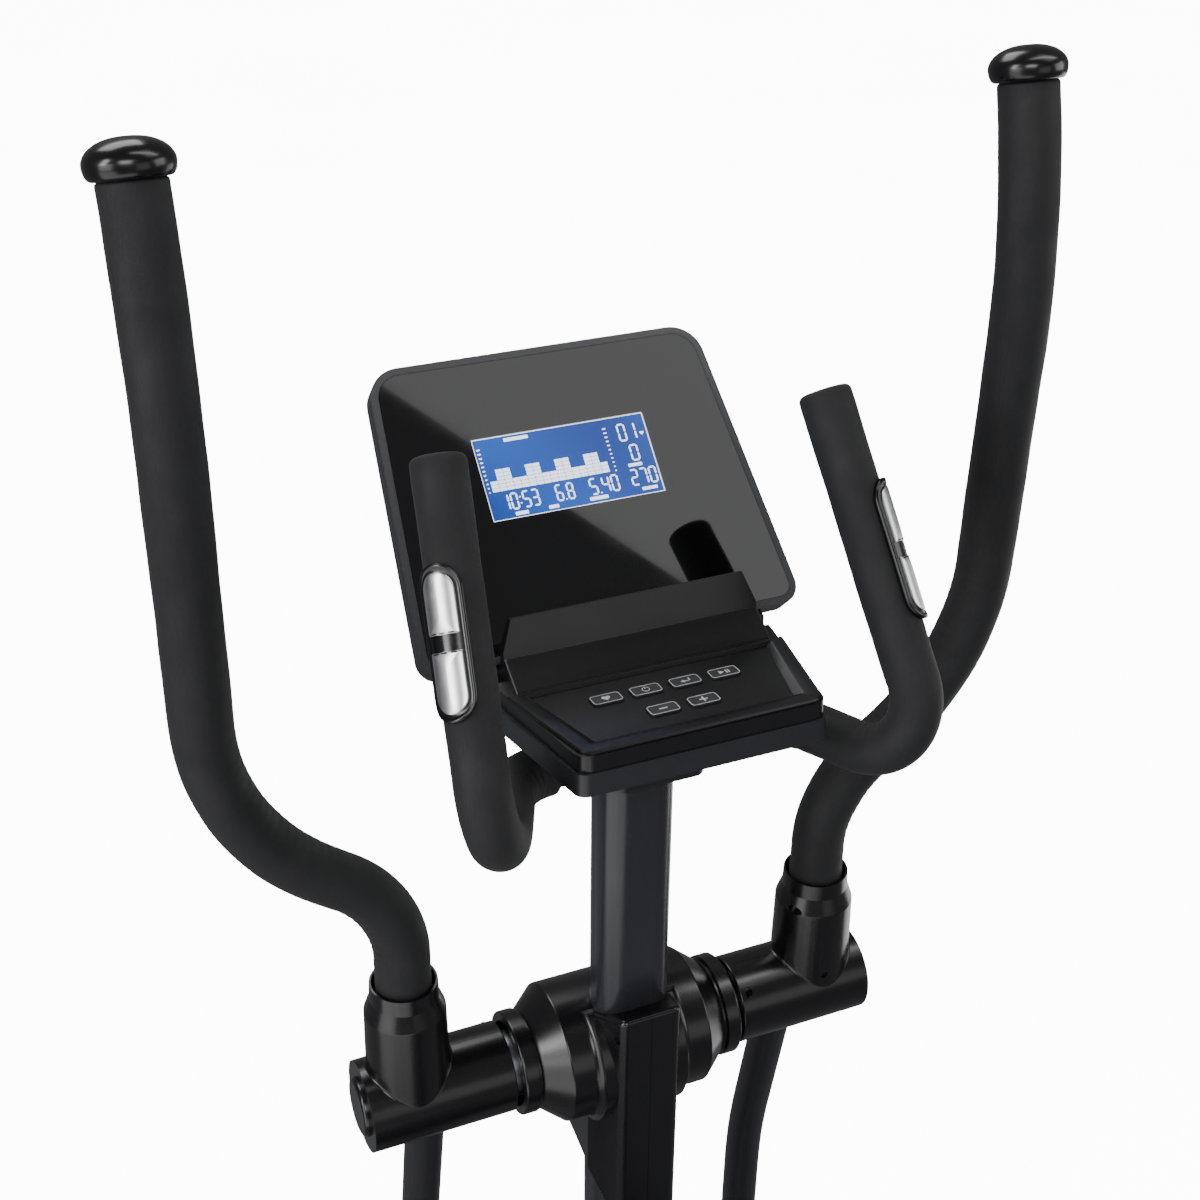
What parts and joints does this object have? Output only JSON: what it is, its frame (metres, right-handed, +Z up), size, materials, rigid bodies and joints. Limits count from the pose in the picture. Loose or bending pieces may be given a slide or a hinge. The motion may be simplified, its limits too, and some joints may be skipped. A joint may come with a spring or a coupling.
{
  "type": "elliptical trainer",
  "caption": "Upright elliptical cross trainer: rear crank drive with pedal arms, swinging handlebars with foam grips, fixed pulse bar and tilted console on a central mast.",
  "frame": {"origin": "centre of the machine's footprint box, on the floor", "axes": "+Z up, +Y the way the user faces, +X to the user's right"},
  "size_m": [0.5928, 1.3799, 1.6405],
  "materials": {
    "frame_paint": "satin black powder coat",
    "mast_paint": "gloss dark grey enamel on a drawn tube",
    "shell_black": "moulded black ABS, fine spark-eroded grain",
    "disc_plastic": "moulded ABS, satin",
    "housing_plastic": "moulded ABS, satin grey-black",
    "foam_grip": "closed-cell NBR foam, fine matte skin",
    "cap_gloss": "polished moulded ABS",
    "console_grey": "moulded grey ABS, satin",
    "console_gloss": "piano-black acrylic panel",
    "lcd": "blue backlit liquid crystal display",
    "deck_plastic": "moulded black ABS, satin",
    "keypad": "semi-gloss black overlay",
    "button_black": "silicone rubber key with a silver outline",
    "sensor_steel": "brushed stainless steel",
    "zinc_steel": "zinc-plated steel",
    "cast_iron": "turned cast iron",
    "belt_rubber": "ribbed rubber belt",
    "tread_plastic": "moulded polypropylene with a raised tread",
    "wheel_rubber": "moulded rubber",
    "pulley_plastic": "glass-filled nylon"
  },
  "bodies": {
    "frame": {"base_rail": "frame_paint", "upright_post": "frame_paint", "drive_bracket": "frame_paint", "stabilisers": "frame_paint", "stabiliser_caps": "shell_black", "frame_fasteners": "zinc_steel", "mast_tube": "mast_paint", "pivot_axle": "zinc_steel", "left_mast_cover": "shell_black", "right_mast_cover": "shell_black", "drive_bearings": "zinc_steel", "drive_belt": "belt_rubber", "servo_motor": "pulley_plastic", "left_drive_housing": "housing_plastic", "right_drive_housing": "housing_plastic", "power_socket": "shell_black", "console_back": "console_grey", "console_face": "console_gloss", "lcd_module": "lcd", "deck_top": "deck_plastic", "keypad_plate": "keypad", "mast_saddle": "frame_paint", "fixed_bar": "frame_paint", "fixed_grips": "foam_grip", "sensor_housings": "cap_gloss", "sensor_plates": "sensor_steel"},
    "crank": {"crank_axle": "zinc_steel", "crank_arms": "frame_paint", "left_crank_disc": "disc_plastic", "right_crank_disc": "disc_plastic", "drive_pulley": "pulley_plastic"},
    "flywheel": {"flywheel": "cast_iron"},
    "idler": {"idler_pulley": "pulley_plastic"},
    "brake": {"brake_arm": "zinc_steel"},
    "wheels": {"transport_wheels": "wheel_rubber"},
    "feet": {"levelling_feet": "wheel_rubber"},
    "left_swing": {"left_swing_arm": "frame_paint", "left_tee_cover_front": "shell_black", "left_tee_cover_rear": "shell_black", "left_handle_tube": "frame_paint", "left_handle_grip": "foam_grip", "left_handle_cap": "cap_gloss"},
    "left_pedal": {"left_pedal_arm": "frame_paint", "left_pedal_pins": "zinc_steel", "left_footplate": "tread_plastic"},
    "right_swing": {"right_swing_arm": "frame_paint", "right_tee_cover_front": "shell_black", "right_tee_cover_rear": "shell_black", "right_handle_tube": "frame_paint", "right_handle_grip": "foam_grip", "right_handle_cap": "cap_gloss"},
    "right_pedal": {"right_pedal_arm": "frame_paint", "right_pedal_pins": "zinc_steel", "right_footplate": "tread_plastic"},
    "button_recovery_key": {"button_recovery": "button_black"},
    "button_reset_key": {"button_reset": "button_black"},
    "button_enter_key": {"button_enter": "button_black"},
    "button_start_key": {"button_start": "button_black"},
    "button_down_key": {"button_down": "button_black"},
    "button_up_key": {"button_up": "button_black"}
  },
  "joints": [
    {"name": "left_swing", "type": "hinge", "parent": "frame", "child": "left_swing", "pos_m": [0, 0.42, 0.955], "axis": [1, 0, 0], "range_deg": [-14, 14]},
    {"name": "right_swing", "type": "hinge", "parent": "frame", "child": "right_swing", "pos_m": [0, 0.42, 0.955], "axis": [1, 0, 0], "range_deg": [-14, 14]},
    {"name": "left_pedal", "type": "hinge", "parent": "left_swing", "child": "left_pedal", "pos_m": [-0.142, 0.48, 0.33], "axis": [1, 0, 0], "range_deg": [-14, 14]},
    {"name": "right_pedal", "type": "hinge", "parent": "right_swing", "child": "right_pedal", "pos_m": [0.142, 0.48, 0.33], "axis": [1, 0, 0], "range_deg": [-14, 14]},
    {"name": "crank_spin", "type": "hinge", "parent": "frame", "child": "crank", "pos_m": [0, -0.40741, 0.33], "axis": [1, 0, 0], "continuous": true},
    {"name": "flywheel_spin", "type": "hinge", "parent": "frame", "child": "flywheel", "pos_m": [0, -0.11741, 0.262], "axis": [1, 0, 0], "continuous": true},
    {"name": "idler_spin", "type": "hinge", "parent": "frame", "child": "idler", "pos_m": [0, -0.21425, 0.20585], "axis": [1, 0, 0], "continuous": true},
    {"name": "brake_tilt", "type": "hinge", "parent": "frame", "child": "brake", "pos_m": [0, -0.00841, 0.231], "axis": [1, 0, 0], "range_deg": [-6, 0]},
    {"name": "wheel_spin", "type": "hinge", "parent": "frame", "child": "wheels", "pos_m": [0, 0.668, 0.025], "axis": [1, 0, 0], "continuous": true},
    {"name": "feet_screw", "type": "slide", "parent": "frame", "child": "feet", "axis": [0, 0, -1], "range_m": [0, 0.01]},
    {"name": "button_recovery_press", "type": "slide", "parent": "frame", "child": "button_recovery_key", "axis": [0, -0.0627, -0.998], "range_m": [0, 0.0012], "stiffness_N_per_m": 300, "springref_m": -0.001},
    {"name": "button_reset_press", "type": "slide", "parent": "frame", "child": "button_reset_key", "axis": [0, -0.0627, -0.998], "range_m": [0, 0.0012], "stiffness_N_per_m": 300, "springref_m": -0.001},
    {"name": "button_enter_press", "type": "slide", "parent": "frame", "child": "button_enter_key", "axis": [0, -0.0627, -0.998], "range_m": [0, 0.0012], "stiffness_N_per_m": 300, "springref_m": -0.001},
    {"name": "button_start_press", "type": "slide", "parent": "frame", "child": "button_start_key", "axis": [0, -0.0627, -0.998], "range_m": [0, 0.0012], "stiffness_N_per_m": 300, "springref_m": -0.001},
    {"name": "button_down_press", "type": "slide", "parent": "frame", "child": "button_down_key", "axis": [0, -0.0627, -0.998], "range_m": [0, 0.0012], "stiffness_N_per_m": 300, "springref_m": -0.001},
    {"name": "button_up_press", "type": "slide", "parent": "frame", "child": "button_up_key", "axis": [0, -0.0627, -0.998], "range_m": [0, 0.0012], "stiffness_N_per_m": 300, "springref_m": -0.001}
  ],
  "couplings": [
    {"joint": "right_swing", "follows": "left_swing", "ratio": -1},
    {"joint": "left_pedal", "follows": "left_swing", "ratio": -1},
    {"joint": "right_pedal", "follows": "left_swing", "ratio": 1},
    {"joint": "flywheel_spin", "follows": "crank_spin", "ratio": 8},
    {"joint": "idler_spin", "follows": "crank_spin", "ratio": -6.5}
  ]
}
